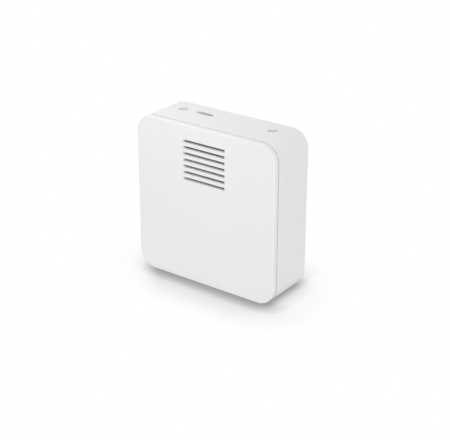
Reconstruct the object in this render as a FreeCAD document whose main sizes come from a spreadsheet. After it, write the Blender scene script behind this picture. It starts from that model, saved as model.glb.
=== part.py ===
# Room temperature sensor: a square white box with a vented front cover.
# +X is to the right, the front faces -Y, +Z is up, and the origin is the middle
# of the footprint on the surface that the sensor stands on. Sizes are in mm.
import FreeCAD, Part
import math
import os
import re
import Sketcher

# Driving sizes
sizes = {
    # outer form
    "width": 80.0, "height": 80.0, "depth": 27.5,
    "corner_radius": 8.75, "edge_radius": 0.5, "back_bevel": 0.4, "wall": 2.2,
    # front cover
    "face_wall": 2.0, "rim_depth": 2.8, "shadow_gap": 0.6, "shadow_depth": 0.8,
    "skirt_gap": 0.2, "skirt_wall": 1.4, "skirt_length": 3.0,
    # catches between cover and housing
    "catch_spacing": 52.0, "catch_depth": 18.3, "catch_radius": 2.35, "catch_gap": 0.15,
    "catch_recess": 1.3, "arm_width": 7.0, "arm_overrun": 2.8,
    # air vents and the screen behind them
    "vent_count": 7, "vent_length": 24.0, "vent_width": 1.4, "vent_pitch": 3.13,
    "vent_margin": 8.0, "screen_border": 1.2, "screen_thickness": 0.5, "screen_gap": 0.2,
    "screen_rib": 1.0, "screen_rib_rise": 1.2,
    # status light
    "window_offset": 13.0, "window_length": 10.0, "window_width": 2.6,
    "window_corner": 0.8, "window_gap": 0.1, "window_recess": 1.0, "guide_thickness": 1.2,
    "guide_lip": 0.85, "guide_mirror": 0.7, "led_length": 3.2, "led_rise": 1.4,
    "led_width": 1.5, "led_inset": 2.0, "led_gap": 0.3,
    # main board and its screws
    "board_thickness": 1.6, "board_margin": 2.3, "board_corner": 5.0, "boss_length": 3.0,
    "boss_radius": 2.75, "screw_inset": 4.0, "screw_radius": 1.0, "screw_fit": 0.05,
    "screw_play": 0.1,
    "screw_length": 5.4, "screw_head_radius": 2.0, "screw_head_rise": 1.3,
    "screw_land": 1.0, "screw_head_play": 0.6, "hole_end_wall": 1.0,
    # fixing to a wall
    "wall_hole_spacing": 60.0, "wall_hole_height": 42.0, "wall_hole_radius": 2.1,
    "wall_pad_radius": 4.6, "wall_pad_rise": 1.0, "access_radius": 5.0,
    "stiffener_width": 1.2, "stiffener_rise": 0.8, "stiffener_spacing": 24.0,
    # batteries, their holder and contacts
    "cell_radius": 7.25, "cell_length": 50.5, "cell_pitch": 15.5, "cell_gap": 0.2,
    "cell_edge": 0.6, "button_radius": 2.75, "button_rise": 1.0, "holder_floor": 1.0,
    "holder_side": 1.0, "holder_end": 1.5, "holder_rise": 2.5, "spring_length": 3.5,
    "spring_sheet": 0.35, "spring_width": 6.0, "spring_land": 2.4, "spring_lift": 0.6,
    "contact_thickness": 0.5, "contact_width": 9.0, "contact_depth": 8.0, "tail_width": 2.0,
    "tail_overrun": 1.1, "tail_gap": 0.1, "saddle_spacing": 26.0, "saddle_wall": 1.5,
    "saddle_reach": 3.6, "saddle_gap": 0.3,
    # air temperature sensor on its own small board
    "sensor_air_gap": 4.5, "sensor_board_width": 16.0, "sensor_board_height": 15.0,
    "sensor_board_thickness": 0.8, "sensor_side": 3.0, "sensor_rise": 1.0,
    "stand_border": 1.0, "stand_wall": 1.2, "stand_window": 5.0, "pin_count": 4,
    "pin_pitch": 2.54, "pin_side": 0.64, "pin_gap": 0.05, "pin_drop": 3.5,
    "pin_overrun": 0.8, "header_border": 1.27, "header_rise": 2.5,
    # electronic parts
    "radio_inset": 15.5, "radio_drop": 14.5, "radio_width": 17.0, "radio_height": 16.0,
    "radio_thickness": 0.8, "shield_width": 14.0, "shield_height": 10.0,
    "shield_rise": 2.0, "shield_wall": 0.3, "shield_drop": 1.8, "aerial_length": 14.0,
    "aerial_width": 2.0, "aerial_rise": 3.2, "aerial_sheet": 0.4, "aerial_feed": 3.5,
    "aerial_lift": 6.0, "processor_inset": 13.5, "processor_drop": 15.5, "processor_side": 9.0,
    "processor_rise": 1.2, "processor_chamfer": 0.3, "crystal_inset": 12.5,
    "crystal_drop": 22.7, "crystal_length": 5.0, "crystal_width": 3.2, "crystal_rise": 1.3,
    "capacitor_inset": 24.5, "capacitor_drop": 23.5, "capacitor_radius": 3.15,
    "capacitor_rise": 5.4, "capacitor_foot": 1.0, "capacitor_border": 0.1, "chip_count": 5,
    "chip_length": 1.6, "chip_width": 0.8, "chip_rise": 0.5, "chip_pitch": 2.8,
    "chip_inset": 8.5, "chip_drop": 8.0, "chip_row_pitch": 2.5,
}

document = FreeCAD.newDocument("TemperatureSensor")
sheet = document.addObject("Spreadsheet::Sheet", "Sizes")
for row, (name, value) in enumerate(sizes.items(), 1):
    sheet.set(f"A{row}", name)
    sheet.set(f"B{row}", str(value))
    sheet.setAlias(f"B{row}", name)
document.recompute()


# Formulas on the sheet's cells

def formula(text):
    """Write the size names in a formula as cells of the sheet."""
    return re.sub(r"[a-z][a-z_]+", lambda m: f"Sizes.{m.group()}" if m.group() in sizes
                  else m.group(), str(text))


def worked_out(text):
    return float(sheet.evalExpression(formula(text)))


# Places that several pieces share, as formulas
front = "(-depth / 2)"
back = "(depth / 2)"
seat = f"({front} + rim_depth + shadow_gap)"
inner_face = f"({front} + face_wall)"
inner_back = f"({back} - wall)"
skirt_end = f"({seat} + skirt_length)"
skirt_inset = "(wall + skirt_gap)"
cavity_inset = f"({skirt_inset} + skirt_wall)"
catch_y = f"({front} + catch_depth)"
catch_x = "(catch_spacing / 2)"
vent_run = "(vent_pitch * (vent_count - 1))"
vent_z = f"(height - vent_margin - {vent_run} / 2)"
board_back = f"({inner_back} - boss_length)"
board_front = f"({board_back} - board_thickness)"
board_side = "(width / 2 - wall - board_margin)"
board_low = "(wall + board_margin)"
board_high = "(height - wall - board_margin)"
corner_x = f"({board_side} - screw_inset)"
wall_hole_x = "(wall_hole_spacing / 2)"
trough_radius = "(cell_radius + cell_gap)"
cell_y = f"({board_front} - holder_floor - {trough_radius})"
lower_z = f"({board_low} + holder_side + {trough_radius})"
upper_z = f"({lower_z} + cell_pitch)"
holder_top = f"({upper_z} + {trough_radius} + holder_side)"
holder_front = f"({cell_y} - holder_rise)"
middle_screw_x = f"({wall_hole_x} - access_radius - screw_land - boss_radius)"
middle_screw_z = f"({holder_top} + screw_head_play + screw_head_radius)"
bay = "((cell_length + spring_length) / 2 + contact_thickness)"
plate = f"({bay} - contact_thickness)"
sensor_front = f"({inner_face} + sensor_air_gap)"
sensor_back = f"({sensor_front} + sensor_board_thickness)"
pin_z = f"({vent_z} - pin_drop)"
pin_run = "(pin_pitch * (pin_count - 1))"
pin_hole = "(pin_side / sqrt(2) + pin_gap)"
radio_front = f"({board_front} - radio_thickness)"
radio_x = f"({board_side} - radio_inset)"
radio_z = f"({board_high} - radio_drop)"
led_top = f"({board_high} - led_inset)"
corners = (f"-{corner_x}", corner_x)
screws = [(x, f"({board_high} - screw_inset)") for x in corners]
screws += [(x, middle_screw_z) for x in (f"-{middle_screw_x}", middle_screw_x)]
rests = [(x, f"({board_low} + screw_inset)") for x in corners]
wall_holes = [(x, "wall_hole_height") for x in (f"-{wall_hole_x}", wall_hole_x)]
tails = [(plate, upper_z), (plate, lower_z)]


# Outlines: each one adds its lines to a sketch and ties them to the sheet

def tie(sketch, constraint, size):
    index = sketch.addConstraint(constraint)
    sketch.setExpression(f"Constraints[{index}]", formula(size))


def place(sketch, line, point, across, up):
    at = (worked_out(across), worked_out(up))
    tie(sketch, Sketcher.Constraint("DistanceX", -1, 1, line, point, at[0]), across)
    tie(sketch, Sketcher.Constraint("DistanceY", -1, 1, line, point, at[1]), up)


def polygon(*corners):
    def add(sketch):
        points = [FreeCAD.Vector(worked_out(a), worked_out(b), 0) for a, b in corners]
        first = sketch.GeometryCount
        for start, end in zip(points, points[1:] + points[:1]):
            sketch.addGeometry(Part.LineSegment(start, end))
        for number, (across, up) in enumerate(corners):
            line, before = first + number, first + (number - 1) % len(corners)
            sketch.addConstraint(Sketcher.Constraint("Coincident", before, 2, line, 1))
            place(sketch, line, 1, across, up)
    return add


def rectangle(left, right, low, high):
    return polygon((left, low), (right, low), (right, high), (left, high))


def circle(across, up, radius):
    def add(sketch):
        middle = FreeCAD.Vector(worked_out(across), worked_out(up), 0)
        ring = Part.Circle(middle, FreeCAD.Vector(0, 0, 1), worked_out(radius))
        line = sketch.addGeometry(ring)
        tie(sketch, Sketcher.Constraint("Radius", line, worked_out(radius)), radius)
        place(sketch, line, 3, across, up)
    return add


def rounded(left, right, low, high, radius):
    """A rectangle whose corners are quarter circles that run smoothly into its sides."""
    def add(sketch):
        x0, x1, z0, z1, r = (worked_out(v) for v in (left, right, low, high, radius))
        quarter = math.pi / 2
        first = sketch.GeometryCount
        sides = [((x0 + r, z0), (x1 - r, z0)), ((x1, z0 + r), (x1, z1 - r)),
                 ((x1 - r, z1), (x0 + r, z1)), ((x0, z1 - r), (x0, z0 + r))]
        middles = [(x1 - r, z0 + r), (x1 - r, z1 - r), (x0 + r, z1 - r), (x0 + r, z0 + r)]
        for start, end in sides:
            sketch.addGeometry(Part.LineSegment(FreeCAD.Vector(*start, 0),
                                                FreeCAD.Vector(*end, 0)))
        for number, middle in enumerate(middles):
            ring = Part.Circle(FreeCAD.Vector(*middle, 0), FreeCAD.Vector(0, 0, 1), r)
            turn = (number - 1) * quarter
            sketch.addGeometry(Part.ArcOfCircle(ring, turn, turn + quarter))
        for number in range(4):
            side, corner = first + number, first + 4 + number
            after = first + (number + 1) % 4
            sketch.addConstraint(Sketcher.Constraint("Tangent", side, 2, corner, 1))
            sketch.addConstraint(Sketcher.Constraint("Tangent", corner, 2, after, 1))
            level = "Horizontal" if number % 2 == 0 else "Vertical"
            sketch.addConstraint(Sketcher.Constraint(level, side))
        for corner in range(first + 5, first + 8):
            sketch.addConstraint(Sketcher.Constraint("Equal", first + 4, corner))
        tie(sketch, Sketcher.Constraint("Radius", first + 4, r), radius)
        for side, direction, size in ((0, "DistanceY", low), (1, "DistanceX", right),
                                      (2, "DistanceY", high), (3, "DistanceX", left)):
            value = worked_out(size)
            tie(sketch, Sketcher.Constraint(direction, -1, 1, first + side, 1, value), size)
    return add


def case_outline(inset):
    """The case's outline, moved inwards by an inset."""
    return rounded(f"-width / 2 + {inset}", f"width / 2 - {inset}", inset,
                   f"height - {inset}", f"corner_radius - {inset}")


# Features: each one goes along its plane's axis from a start to an end

def new_body(name):
    body = document.addObject("PartDesign::Body", name)
    body.Label = name
    body.AllowCompound = True
    return body


def sketch_on(body, name, plane, level, outlines):
    sketch = body.newObject("Sketcher::SketchObject", name)
    support = next(p for p in body.Origin.OriginFeatures if p.Role == plane)
    sketch.AttachmentSupport = [(support, "")]
    sketch.MapMode = "FlatFace"
    sign = "-1" if plane == "XZ_Plane" else "1"
    sketch.setExpression("AttachmentOffset.Base.z", formula(f"{sign} * ({level})"))
    for outline in outlines:
        outline(sketch)
    return sketch


def extrude(body, kind, name, plane, start, end, *outlines):
    sketch = sketch_on(body, f"{name}_outline", plane, start, outlines)
    feature = body.newObject(f"PartDesign::{kind}", name)
    feature.Profile = sketch
    feature.setExpression("Length", formula(f"({end}) - ({start})"))
    feature.Reversed = (kind == "Pad") == (plane == "XZ_Plane")
    return feature


def add_along_y(body, name, start, end, *outlines):
    return extrude(body, "Pad", name, "XZ_Plane", start, end, *outlines)


def cut_along_y(body, name, start, end, *outlines):
    return extrude(body, "Pocket", name, "XZ_Plane", start, end, *outlines)


def add_along_x(body, name, start, end, *outlines):
    return extrude(body, "Pad", name, "YZ_Plane", start, end, *outlines)


def cut_along_x(body, name, start, end, *outlines):
    return extrude(body, "Pocket", name, "YZ_Plane", start, end, *outlines)


def add_along_z(body, name, start, end, *outlines):
    return extrude(body, "Pad", name, "XY_Plane", start, end, *outlines)


def cut_along_z(body, name, start, end, *outlines):
    return extrude(body, "Pocket", name, "XY_Plane", start, end, *outlines)


def dress_edges(body, kind, name, size, chosen):
    """Fillet or chamfer the edges of the body's last feature that a test picks."""
    document.recompute()
    base = body.Tip
    picked = [f"Edge{number}" for number, edge in enumerate(base.Shape.Edges, 1)
              if chosen(edge.BoundBox)]
    feature = body.newObject(f"PartDesign::{kind}", name)
    feature.Base = (base, picked)
    feature.setExpression("Radius" if kind == "Fillet" else "Size", formula(size))
    return feature


def at_y(level):
    here = worked_out(level)
    return lambda box: abs(box.YMin - here) < 1e-4 and abs(box.YMax - here) < 1e-4


def block(name, left, right, start, end, low, high):
    """A plain box between six planes."""
    box = document.addObject("Part::Box", name)
    box.Label = name
    for size, low_end, high_end in (("Length", left, right), ("Width", start, end),
                                    ("Height", low, high)):
        box.setExpression(size, formula(f"({high_end}) - ({low_end})"))
    for axis, low_end in (("x", left), ("y", start), ("z", low)):
        box.setExpression(f"Placement.Base.{axis}", formula(low_end))
    return box


def centred_block(name, x, z, length, width, start, end):
    return block(name, f"{x} - {length} / 2", f"{x} + {length} / 2", start, end,
                 f"{z} - {width} / 2", f"{z} + {width} / 2")


# The case

def make_front_cover():
    """The moulded front: face, shadow gap, skirt, four snap arms, ribs and vents."""
    body = new_body("front_cover")
    add_along_y(body, "face", front, f"{front} + rim_depth", case_outline("0"))
    dress_edges(body, "Fillet", "front_edge", "edge_radius", at_y(front))
    add_along_y(body, "neck", f"{front} + rim_depth", seat, case_outline("shadow_depth"))
    add_along_y(body, "skirt", seat, skirt_end, case_outline(skirt_inset))
    cut_along_y(body, "cavity", inner_face, skirt_end, case_outline(cavity_inset))
    arms = []
    for side in ("-1", "1"):
        left = f"{side} * {catch_x} - arm_width / 2"
        right = f"{side} * {catch_x} + arm_width / 2"
        arms.append(rectangle(left, right, skirt_inset, cavity_inset))
        arms.append(rectangle(left, right, f"height - {cavity_inset}",
                              f"height - {skirt_inset}"))
    add_along_y(body, "snap_arms", skirt_end, f"{catch_y} + arm_overrun", *arms)
    studs = [circle(f"{side} * {catch_x}", catch_y, "catch_radius") for side in ("-1", "1")]
    add_along_z(body, "lower_studs", "catch_recess", skirt_inset, *studs)
    add_along_z(body, "upper_studs", f"height - {skirt_inset}", "height - catch_recess",
                *studs)
    across = "(vent_length / 2 + screen_border + screen_gap)"
    up = f"({vent_run} / 2 + vent_width / 2 + screen_border + screen_gap)"
    add_along_y(body, "screen_rib_frame", inner_face, f"{inner_face} + screen_rib_rise",
                rectangle(f"-{across} - screen_rib", f"{across} + screen_rib",
                          f"{vent_z} - {up} - screen_rib", f"{vent_z} + {up} + screen_rib"),
                rectangle(f"-{across}", across, f"{vent_z} - {up}", f"{vent_z} + {up}"))
    for side, name in (("-1", "left"), ("1", "right")):
        middle = f"{side} * saddle_spacing / 2"
        span = (f"{middle} - saddle_wall / 2", f"{middle} + saddle_wall / 2")
        add_along_x(body, f"{name}_saddle", *span,
                    rectangle(inner_face, f"{cell_y} - saddle_reach",
                              f"{lower_z} - cell_radius", f"{upper_z} + cell_radius"))
        cut_along_x(body, f"{name}_saddle_hollows", *span,
                    circle(cell_y, lower_z, "cell_radius + saddle_gap"),
                    circle(cell_y, upper_z, "cell_radius + saddle_gap"))
    half = "vent_width / 2"
    lowest = f"({vent_z} - {vent_run} / 2)"
    vent = cut_along_y(body, "vent", front, inner_face,
                       rectangle("-vent_length / 2", "vent_length / 2",
                                 f"{lowest} - {half}", f"{lowest} + {half}"))
    document.recompute()
    vents = body.newObject("PartDesign::LinearPattern", "vents")
    vents.Originals = [vent]
    vents.Direction = (vent.Profile[0], ["V_Axis"])
    vents.setExpression("Length", formula(vent_run))
    vents.setExpression("Occurrences", formula("vent_count"))
    body.Tip = vents
    return body


def make_rear_housing():
    """The moulded tray that everything is fixed in."""
    body = new_body("rear_housing")
    add_along_y(body, "shell", seat, back, case_outline("0"))
    dress_edges(body, "Chamfer", "back_edge", "back_bevel", at_y(back))
    cut_along_y(body, "inside", seat, inner_back, case_outline("wall"))
    bosses = [circle(x, z, "boss_radius") for x, z in screws + rests]
    add_along_y(body, "board_bosses", board_back, inner_back, *bosses)
    pilots = [circle(x, z, "screw_radius + screw_fit") for x, z in screws]
    cut_along_y(body, "boss_holes", board_back, f"{back} - hole_end_wall", *pilots)
    pads = [circle(x, z, "wall_pad_radius") for x, z in wall_holes]
    pad_front = f"{inner_back} - wall_pad_rise"
    add_along_y(body, "wall_pads", pad_front, inner_back, *pads)
    holes = [circle(x, z, "wall_hole_radius") for x, z in wall_holes]
    cut_along_y(body, "wall_screw_holes", pad_front, back, *holes)
    for side, name in (("-1", "left"), ("1", "right")):
        middle = f"{side} * stiffener_spacing / 2"
        add_along_y(body, f"{name}_stiffener", f"{inner_back} - stiffener_rise", inner_back,
                    rectangle(f"{middle} - stiffener_width / 2",
                              f"{middle} + stiffener_width / 2", "wall", "height - wall"))
    catch_holes = [circle(f"{side} * {catch_x}", catch_y, "catch_radius + catch_gap")
                   for side in ("-1", "1")]
    cut_along_z(body, "lower_catch_holes", "0", "wall", *catch_holes)
    cut_along_z(body, "upper_catch_holes", "height - wall", "height", *catch_holes)
    cut_along_z(body, "light_slot", "height - wall", "height",
                rounded("-window_offset - window_length / 2",
                        "-window_offset + window_length / 2",
                        f"{catch_y} - window_width / 2", f"{catch_y} + window_width / 2",
                        "window_corner"))
    return body


# The air path and the sensor behind it

def make_dust_screen():
    across = "(vent_length / 2 + screen_border)"
    up = f"({vent_run} / 2 + vent_width / 2 + screen_border)"
    return block("dust_screen", f"-{across}", across, inner_face,
                 f"{inner_face} + screen_thickness", f"{vent_z} - {up}", f"{vent_z} + {up}")


def pin_places():
    return [(f"({number} * pin_pitch - {pin_run} / 2)", pin_z)
            for number in range(int(sizes["pin_count"]))]


def make_sensor_board():
    body = new_body("sensor_board")
    add_along_y(body, "sensor_sheet", sensor_front, sensor_back,
                rectangle("-sensor_board_width / 2", "sensor_board_width / 2",
                          f"{vent_z} - sensor_board_height / 2",
                          f"{vent_z} + sensor_board_height / 2"))
    cut_along_y(body, "sensor_pin_holes", sensor_front, sensor_back,
                *[circle(x, z, pin_hole) for x, z in pin_places()])
    return body


def make_temperature_sensor():
    return centred_block("temperature_sensor", "0", vent_z, "sensor_side", "sensor_side",
                         f"{sensor_front} - sensor_rise", sensor_front)


def make_sensor_stand():
    """A hollow post, open at its sides, that keeps the sensor away from the warm board."""
    body = new_body("sensor_stand")
    across = "(sensor_board_width / 2 - stand_border)"
    up = "(sensor_board_height / 2 - stand_border)"
    add_along_y(body, "post", sensor_back, board_front,
                rectangle(f"-{across}", across, f"{vent_z} - {up}", f"{vent_z} + {up}"),
                rectangle(f"-{across} + stand_wall", f"{across} - stand_wall",
                          f"{vent_z} - {up} + stand_wall", f"{vent_z} + {up} - stand_wall"))
    middle = f"(({sensor_back} + {board_front}) / 2)"
    cut_along_x(body, "side_windows", f"-{across}", across,
                rectangle(f"{middle} - stand_window / 2", f"{middle} + stand_window / 2",
                          f"{vent_z} - stand_window / 2", f"{vent_z} + stand_window / 2"))
    return body


def make_pin_header():
    body = new_body("pin_header")
    add_along_y(body, "header_block", f"{board_front} - header_rise", board_front,
                rectangle(f"-{pin_run} / 2 - header_border", f"{pin_run} / 2 + header_border",
                          f"{pin_z} - header_border", f"{pin_z} + header_border"))
    add_along_y(body, "pins", f"{sensor_front} - pin_overrun", f"{board_back} + pin_overrun",
                *[rectangle(f"{x} - pin_side / 2", f"{x} + pin_side / 2",
                            f"{z} - pin_side / 2", f"{z} + pin_side / 2")
                  for x, z in pin_places()])
    return body


# The main board and what is on it

def make_main_board():
    body = new_body("main_board")
    add_along_y(body, "board_sheet", board_front, board_back,
                rounded(f"-{board_side}", board_side, board_low, board_high,
                        "board_corner"))
    holes = [circle(x, z, "screw_radius + screw_play") for x, z in screws]
    holes += [circle(x, z, "access_radius") for x, z in wall_holes]
    holes += [circle(x, z, pin_hole) for x, z in pin_places()]
    holes += [rectangle(f"{x} - tail_gap", f"{x} + contact_thickness + tail_gap",
                        f"{z} - tail_width / 2 - tail_gap",
                        f"{z} + tail_width / 2 + tail_gap") for x, z in tails]
    cut_along_y(body, "board_holes", board_front, board_back, *holes)
    return body


def make_board_screws():
    """Four pan head screws: two in the board's top corners and two above the holder."""
    body = new_body("board_screws")
    add_along_y(body, "heads", f"{board_front} - screw_head_rise", board_front,
                *[circle(x, z, "screw_head_radius") for x, z in screws])
    add_along_y(body, "shanks", board_front, f"{board_front} + screw_length",
                *[circle(x, z, "screw_radius") for x, z in screws])
    return body


def make_processor():
    body = new_body("microcontroller")
    low = f"{board_front} - processor_rise"
    x = f"(processor_inset - {board_side})"
    z = f"({board_high} - processor_drop)"
    add_along_y(body, "processor_block", low, board_front,
                rectangle(f"{x} - processor_side / 2", f"{x} + processor_side / 2",
                          f"{z} - processor_side / 2", f"{z} + processor_side / 2"))
    dress_edges(body, "Chamfer", "processor_edge", "processor_chamfer", at_y(low))
    return body


def make_crystal():
    x = f"(crystal_inset - {board_side})"
    z = f"({board_high} - crystal_drop)"
    return centred_block("crystal", x, z, "crystal_length", "crystal_width",
                         f"{board_front} - crystal_rise", board_front)


def make_capacitor():
    body = new_body("capacitor")
    side = "(capacitor_radius + capacitor_border)"
    foot = f"{board_front} - capacitor_foot"
    x = f"(capacitor_inset - {board_side})"
    z = f"({board_high} - capacitor_drop)"
    add_along_y(body, "base", foot, board_front,
                rectangle(f"{x} - {side}", f"{x} + {side}",
                          f"{z} - {side}", f"{z} + {side}"))
    top = f"{board_front} - capacitor_rise"
    add_along_y(body, "capacitor_can", top, foot,
                circle(x, z, "capacitor_radius"))
    return body


def make_small_chips():
    """Resistors and capacitors in two rows above the microcontroller."""
    body = new_body("small_chips")
    shapes = []
    for row in range(2):
        for number in range(int(sizes["chip_count"])):
            x = f"(chip_inset - {board_side} + {number} * chip_pitch)"
            z = f"({board_high} - chip_drop + {row} * chip_row_pitch)"
            shapes.append(rectangle(f"{x} - chip_width / 2", f"{x} + chip_width / 2",
                                    f"{z} - chip_length / 2", f"{z} + chip_length / 2"))
    add_along_y(body, "chips", f"{board_front} - chip_rise", board_front, *shapes)
    return body


def make_radio_board():
    return centred_block("radio_board", radio_x, radio_z, "radio_width", "radio_height",
                         radio_front, board_front)


def make_radio_shield():
    """A folded lid over the radio's chips, open towards its board."""
    body = new_body("radio_shield")
    z = f"({radio_z} - shield_drop)"
    top = f"{radio_front} - shield_rise"
    inset = "shield_wall"
    edges = (f"{radio_x} - shield_width / 2", f"{radio_x} + shield_width / 2",
             f"{z} - shield_height / 2", f"{z} + shield_height / 2")
    add_along_y(body, "lid", top, radio_front, rectangle(*edges))
    cut_along_y(body, "lid_hollow", f"{top} + shield_wall", radio_front,
                rectangle(f"{edges[0]} + {inset}", f"{edges[1]} - {inset}",
                          f"{edges[2]} + {inset}", f"{edges[3]} - {inset}"))
    return body


def make_antenna():
    """A bent strip on two feet, in line with the radio board's top edge."""
    body = new_body("antenna")
    left = f"({radio_x} - aerial_length / 2)"
    right = f"({radio_x} + aerial_length / 2)"
    sheet_top = f"({radio_front} - aerial_rise)"
    under = f"({sheet_top} + aerial_sheet)"
    feed = f"({left} + aerial_feed)"
    z = f"({radio_z} + aerial_lift)"
    outline = polygon((left, sheet_top), (right, sheet_top), (right, under),
                      (f"{feed} + aerial_sheet", under), (f"{feed} + aerial_sheet", radio_front),
                      (feed, radio_front), (feed, under), (f"{left} + aerial_sheet", under),
                      (f"{left} + aerial_sheet", radio_front), (left, radio_front))
    add_along_z(body, "strip", f"{z} - aerial_width / 2", f"{z} + aerial_width / 2", outline)
    return body


# The status light

def make_status_led():
    return block("status_led", "-window_offset - led_length / 2",
                 "-window_offset + led_length / 2", f"{board_front} - led_rise", board_front,
                 f"{led_top} - led_width", led_top)


def make_light_guide():
    """A smoked guide that fills the slot in the top and comes down to the status light."""
    body = new_body("light_guide")
    ceiling = "(height - wall)"
    near = f"({catch_y} - window_width / 2 + window_gap)"
    far = f"({catch_y} + window_width / 2 - window_gap)"
    rear = f"({board_front} - window_gap)"
    lip = f"({ceiling} - guide_thickness)"
    leg = f"({rear} - guide_thickness)"
    foot = f"({led_top} + led_gap)"
    outline = polygon((f"{near} - guide_lip", lip), (leg, lip), (leg, foot), (rear, foot),
                      (rear, f"{ceiling} - guide_mirror"),
                      (f"{rear} - guide_mirror", ceiling),
                      (f"{near} - guide_lip", ceiling))
    half = "(window_length / 2 - window_gap)"
    add_along_x(body, "guide", f"-window_offset - {half}", f"-window_offset + {half}", outline)
    add_along_z(body, "window_face", ceiling, "height - window_recess",
                rounded(f"-window_offset - {half}", f"-window_offset + {half}", near, far,
                        "window_corner - window_gap"))
    return body


# Batteries, holder and contacts

def make_battery(name, z, positive):
    """A round cell along X; its button points to +X if positive is 1, else to -X."""
    body = new_body(name)
    shoulder = f"({plate} - button_rise)"
    rear = f"({plate} - cell_length)"
    can = (rear, shoulder) if positive > 0 else (f"-{shoulder}", f"-{rear}")
    tip = (shoulder, plate) if positive > 0 else (f"-{plate}", f"-{shoulder}")
    add_along_x(body, f"{name}_can", *can, circle(cell_y, z, "cell_radius"))
    ring = worked_out(shoulder) * positive
    dress_edges(body, "Chamfer", f"{name}_edge", "cell_edge",
                lambda box: box.XLength < 1e-4 and abs(box.XMin - ring) < 1e-4)
    add_along_x(body, f"{name}_button", *tip, circle(cell_y, z, "button_radius"))
    return body


def make_battery_holder():
    """An open tray with two troughs, end walls for the contacts and slots for their tails."""
    body = new_body("battery_holder")
    end = f"({bay} + holder_end)"
    add_along_y(body, "tray", holder_front, board_front,
                rectangle(f"-{end}", end, board_low, holder_top))
    for name, z in (("lower", lower_z), ("upper", upper_z)):
        cut_along_x(body, f"{name}_trough", f"-{bay}", bay, circle(cell_y, z, trough_radius))
        cut_along_y(body, f"{name}_opening", holder_front, cell_y,
                    rectangle(f"-{bay}", bay, f"{z} - {trough_radius}",
                              f"{z} + {trough_radius}"))
    cut_along_y(body, "link_notch", holder_front, f"{cell_y} + contact_depth / 2 + tail_gap",
                rectangle(f"-{bay}", f"-{plate} + tail_gap", lower_z, upper_z))
    slots = [rectangle(f"{x} - tail_gap", bay, f"{z} - tail_width / 2 - tail_gap",
                       f"{z} + tail_width / 2 + tail_gap") for x, z in tails]
    cut_along_y(body, "tail_slots", cell_y, board_front, *slots)
    return body


def contact_plate(body, name, x_from, x_to, low, high):
    add_along_x(body, name, x_from, x_to,
                rectangle(f"{cell_y} - contact_depth / 2", f"{cell_y} + contact_depth / 2",
                          f"{low} - contact_width / 2", f"{high} + contact_width / 2"))


def contact_tail(body, name, z):
    add_along_y(body, name, cell_y, f"{board_back} + tail_overrun",
                rectangle(plate, bay, f"{z} - tail_width / 2", f"{z} + tail_width / 2"))


def contact_spring(body, name, z, side):
    """A folded tongue that leans from its plate to the cell's flat end and back."""
    root = f"{side} * {plate}"
    land = f"{side} * ({plate} - spring_length)"
    tip = f"{side} * ({plate} - spring_lift)"
    line = [(root, f"{cell_y} - contact_depth / 2"), (land, f"{cell_y} - spring_land / 2"),
            (land, f"{cell_y} + spring_land / 2"), (tip, f"{cell_y} + contact_depth / 2")]
    rear = [(f"{x} + {side} * spring_sheet", y) for x, y in reversed(line)]
    add_along_z(body, name, f"{z} - spring_width / 2", f"{z} + spring_width / 2",
                polygon(*line, *rear))


def make_positive_contact():
    body = new_body("positive_contact")
    contact_plate(body, "positive_plate", plate, bay, upper_z, upper_z)
    contact_tail(body, "positive_tail", upper_z)
    return body


def make_negative_contact():
    body = new_body("negative_contact")
    contact_plate(body, "negative_plate", plate, bay, lower_z, lower_z)
    contact_tail(body, "negative_tail", lower_z)
    contact_spring(body, "negative_spring", lower_z, "1")
    return body


def make_link_contact():
    """The plate that joins the lower cell's button to the upper cell's spring."""
    body = new_body("link_contact")
    contact_plate(body, "link_plate", f"-{bay}", f"-{plate}", lower_z, upper_z)
    contact_spring(body, "link_spring", upper_z, "-1")
    return body


pieces = [
    make_front_cover(), make_rear_housing(), make_dust_screen(), make_sensor_board(),
    make_temperature_sensor(), make_sensor_stand(), make_pin_header(), make_main_board(),
    make_board_screws(), make_processor(), make_crystal(), make_capacitor(),
    make_small_chips(), make_radio_board(), make_radio_shield(), make_antenna(),
    make_status_led(), make_light_guide(), make_battery("battery_lower", lower_z, -1),
    make_battery("battery_upper", upper_z, 1), make_battery_holder(),
    make_positive_contact(), make_negative_contact(), make_link_contact(),
]

document.recompute()
for thing in document.Objects:
    if "Invalid" in thing.State or "Error" in thing.State:
        raise RuntimeError(f"{thing.Name} is {thing.State}")
os.makedirs("parts", exist_ok=True)
for piece in pieces:
    if piece.Shape.isNull() or not piece.Shape.isValid():
        raise RuntimeError(f"{piece.Label} has no valid shape")
    piece.Shape.exportStep(f"parts/{piece.Label}.step")
print(f"wrote {len(pieces)} pieces")
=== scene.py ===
# Room temperature sensor on a white floor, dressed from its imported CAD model.
# Lengths are metres. The front looks along -Y and up is +Z, as in the model.
import math

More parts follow.
